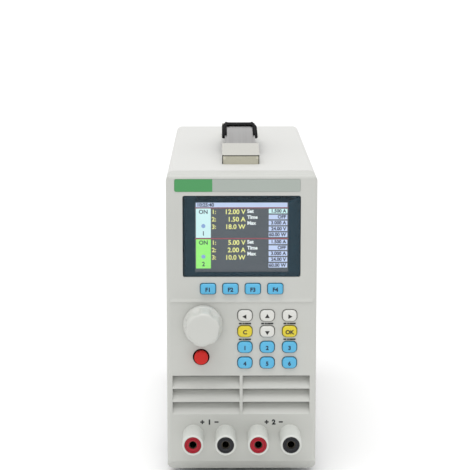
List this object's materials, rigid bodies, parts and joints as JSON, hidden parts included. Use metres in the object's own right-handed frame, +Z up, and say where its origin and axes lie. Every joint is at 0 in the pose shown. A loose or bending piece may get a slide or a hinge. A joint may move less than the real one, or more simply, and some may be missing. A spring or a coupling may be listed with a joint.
{
  "type": "dc electronic load",
  "caption": "Upright bench DC electronic load with colour display, keypad, rotary knob, louvred front, four 4 mm input sockets and a strap handle on top.",
  "frame": {"origin": "centre of the bounding box at floor level, under the feet", "axes": "+X to the right and +Y to the back as seen from the front panel, +Z up"},
  "size_m": [0.0916, 0.2834, 0.1991],
  "materials": {
    "panel_plastic": "fine satin moulding",
    "cover_paint": "fine powder coat",
    "tray_steel": "zinc-plated sheet",
    "screw_steel": "nickel plated",
    "foot_rubber": "matte",
    "label_film": "printed film, green and grey",
    "window_pane": "clear acrylic",
    "mask_print": "dark print",
    "screen_glass": "lit colour screen",
    "knob_plastic": "satin",
    "red_plastic": "moulded",
    "black_plastic": "moulded",
    "blue_key": "soft-touch silicone",
    "white_key": "soft-touch silicone",
    "yellow_key": "soft-touch silicone",
    "board_green": "solder mask",
    "contact_brass": "plated",
    "busbar_copper": "bare copper",
    "cap_chrome": "polished plating",
    "band_steel": "brushed along its length",
    "grip_rubber": "satin, fine grain",
    "inlet_plastic": "moulded",
    "sink_aluminium": "extruded",
    "core_iron": "varnished laminations",
    "capacitor_can": "sleeved can"
  },
  "bodies": {
    "case": {"front_bezel": "panel_plastic", "wrap_cover": "cover_paint", "base_tray": "tray_steel", "rear_panel": "cover_paint", "case_screws": "screw_steel", "bezel_screws": "screw_steel", "rubber_feet": "foot_rubber", "foot_screws": "screw_steel", "label_strip": "label_film", "display_window": "window_pane", "display_mask": "mask_print", "lcd_panel": "screen_glass", "encoder_body": "tray_steel", "power_switch": "black_plastic", "control_board": "board_green", "key_switches": "black_plastic", "terminal_sleeves": "knob_plastic", "red_collars": "red_plastic", "black_collars": "black_plastic", "contact_sockets": "contact_brass", "terminal_nuts": "screw_steel", "input_busbars": "busbar_copper", "handle_cap_front": "cap_chrome", "handle_cap_rear": "cap_chrome", "handle_screws": "screw_steel", "fan_frame": "black_plastic", "fan_guard": "band_steel", "fan_screws": "screw_steel", "mains_inlet": "inlet_plastic", "inlet_pins": "screw_steel", "serial_port": "screw_steel", "heatsink_left": "sink_aluminium", "heatsink_right": "sink_aluminium", "power_transistors": "black_plastic", "chassis_pillars": "screw_steel", "power_board": "board_green", "mains_transformer": "core_iron", "filter_capacitors": "capacitor_can"},
    "soft_key_1_cap": {"soft_key_1": "blue_key"},
    "soft_key_2_cap": {"soft_key_2": "blue_key"},
    "soft_key_3_cap": {"soft_key_3": "blue_key"},
    "soft_key_4_cap": {"soft_key_4": "blue_key"},
    "key_left_cap": {"key_left": "white_key"},
    "key_up_cap": {"key_up": "white_key"},
    "key_right_cap": {"key_right": "white_key"},
    "key_cancel_cap": {"key_cancel": "yellow_key"},
    "key_down_cap": {"key_down": "white_key"},
    "key_confirm_cap": {"key_confirm": "yellow_key"},
    "key_mode_cap": {"key_mode": "blue_key"},
    "key_menu_cap": {"key_menu": "blue_key"},
    "key_set_cap": {"key_set": "blue_key"},
    "key_channel_cap": {"key_channel": "blue_key"},
    "key_trigger_cap": {"key_trigger": "blue_key"},
    "key_output_cap": {"key_output": "blue_key"},
    "power_push": {"power_button": "red_plastic"},
    "knob": {"control_knob": "knob_plastic", "encoder_shaft": "screw_steel"},
    "fan": {"fan_rotor": "black_plastic"},
    "handle": {"handle_band": "band_steel", "handle_grip": "grip_rubber"}
  },
  "joints": [
    {"name": "soft_key_1_press", "type": "slide", "parent": "case", "child": "soft_key_1_cap", "axis": [0, 1, 0], "range_m": [0, 0.0008], "stiffness_N_per_m": 800},
    {"name": "soft_key_2_press", "type": "slide", "parent": "case", "child": "soft_key_2_cap", "axis": [0, 1, 0], "range_m": [0, 0.0008], "stiffness_N_per_m": 800},
    {"name": "soft_key_3_press", "type": "slide", "parent": "case", "child": "soft_key_3_cap", "axis": [0, 1, 0], "range_m": [0, 0.0008], "stiffness_N_per_m": 800},
    {"name": "soft_key_4_press", "type": "slide", "parent": "case", "child": "soft_key_4_cap", "axis": [0, 1, 0], "range_m": [0, 0.0008], "stiffness_N_per_m": 800},
    {"name": "key_left_press", "type": "slide", "parent": "case", "child": "key_left_cap", "axis": [0, 1, 0], "range_m": [0, 0.0008], "stiffness_N_per_m": 800},
    {"name": "key_up_press", "type": "slide", "parent": "case", "child": "key_up_cap", "axis": [0, 1, 0], "range_m": [0, 0.0008], "stiffness_N_per_m": 800},
    {"name": "key_right_press", "type": "slide", "parent": "case", "child": "key_right_cap", "axis": [0, 1, 0], "range_m": [0, 0.0008], "stiffness_N_per_m": 800},
    {"name": "key_cancel_press", "type": "slide", "parent": "case", "child": "key_cancel_cap", "axis": [0, 1, 0], "range_m": [0, 0.0008], "stiffness_N_per_m": 800},
    {"name": "key_down_press", "type": "slide", "parent": "case", "child": "key_down_cap", "axis": [0, 1, 0], "range_m": [0, 0.0008], "stiffness_N_per_m": 800},
    {"name": "key_confirm_press", "type": "slide", "parent": "case", "child": "key_confirm_cap", "axis": [0, 1, 0], "range_m": [0, 0.0008], "stiffness_N_per_m": 800},
    {"name": "key_mode_press", "type": "slide", "parent": "case", "child": "key_mode_cap", "axis": [0, 1, 0], "range_m": [0, 0.0008], "stiffness_N_per_m": 800},
    {"name": "key_menu_press", "type": "slide", "parent": "case", "child": "key_menu_cap", "axis": [0, 1, 0], "range_m": [0, 0.0008], "stiffness_N_per_m": 800},
    {"name": "key_set_press", "type": "slide", "parent": "case", "child": "key_set_cap", "axis": [0, 1, 0], "range_m": [0, 0.0008], "stiffness_N_per_m": 800},
    {"name": "key_channel_press", "type": "slide", "parent": "case", "child": "key_channel_cap", "axis": [0, 1, 0], "range_m": [0, 0.0008], "stiffness_N_per_m": 800},
    {"name": "key_trigger_press", "type": "slide", "parent": "case", "child": "key_trigger_cap", "axis": [0, 1, 0], "range_m": [0, 0.0008], "stiffness_N_per_m": 800},
    {"name": "key_output_press", "type": "slide", "parent": "case", "child": "key_output_cap", "axis": [0, 1, 0], "range_m": [0, 0.0008], "stiffness_N_per_m": 800},
    {"name": "power_press", "type": "slide", "parent": "case", "child": "power_push", "axis": [0, 1, 0], "range_m": [0, 0.0024], "stiffness_N_per_m": 500},
    {"name": "knob_turn", "type": "hinge", "parent": "case", "child": "knob", "pos_m": [-0.0227, -0.12775, 0.0946], "axis": [0, 1, 0], "continuous": true},
    {"name": "fan_spin", "type": "hinge", "parent": "case", "child": "fan", "pos_m": [0, 0.12325, 0.133], "axis": [0, 1, 0], "continuous": true},
    {"name": "handle_lift", "type": "slide", "parent": "case", "child": "handle", "axis": [0, 0, 1], "range_m": [0, 0.0026]}
  ]
}
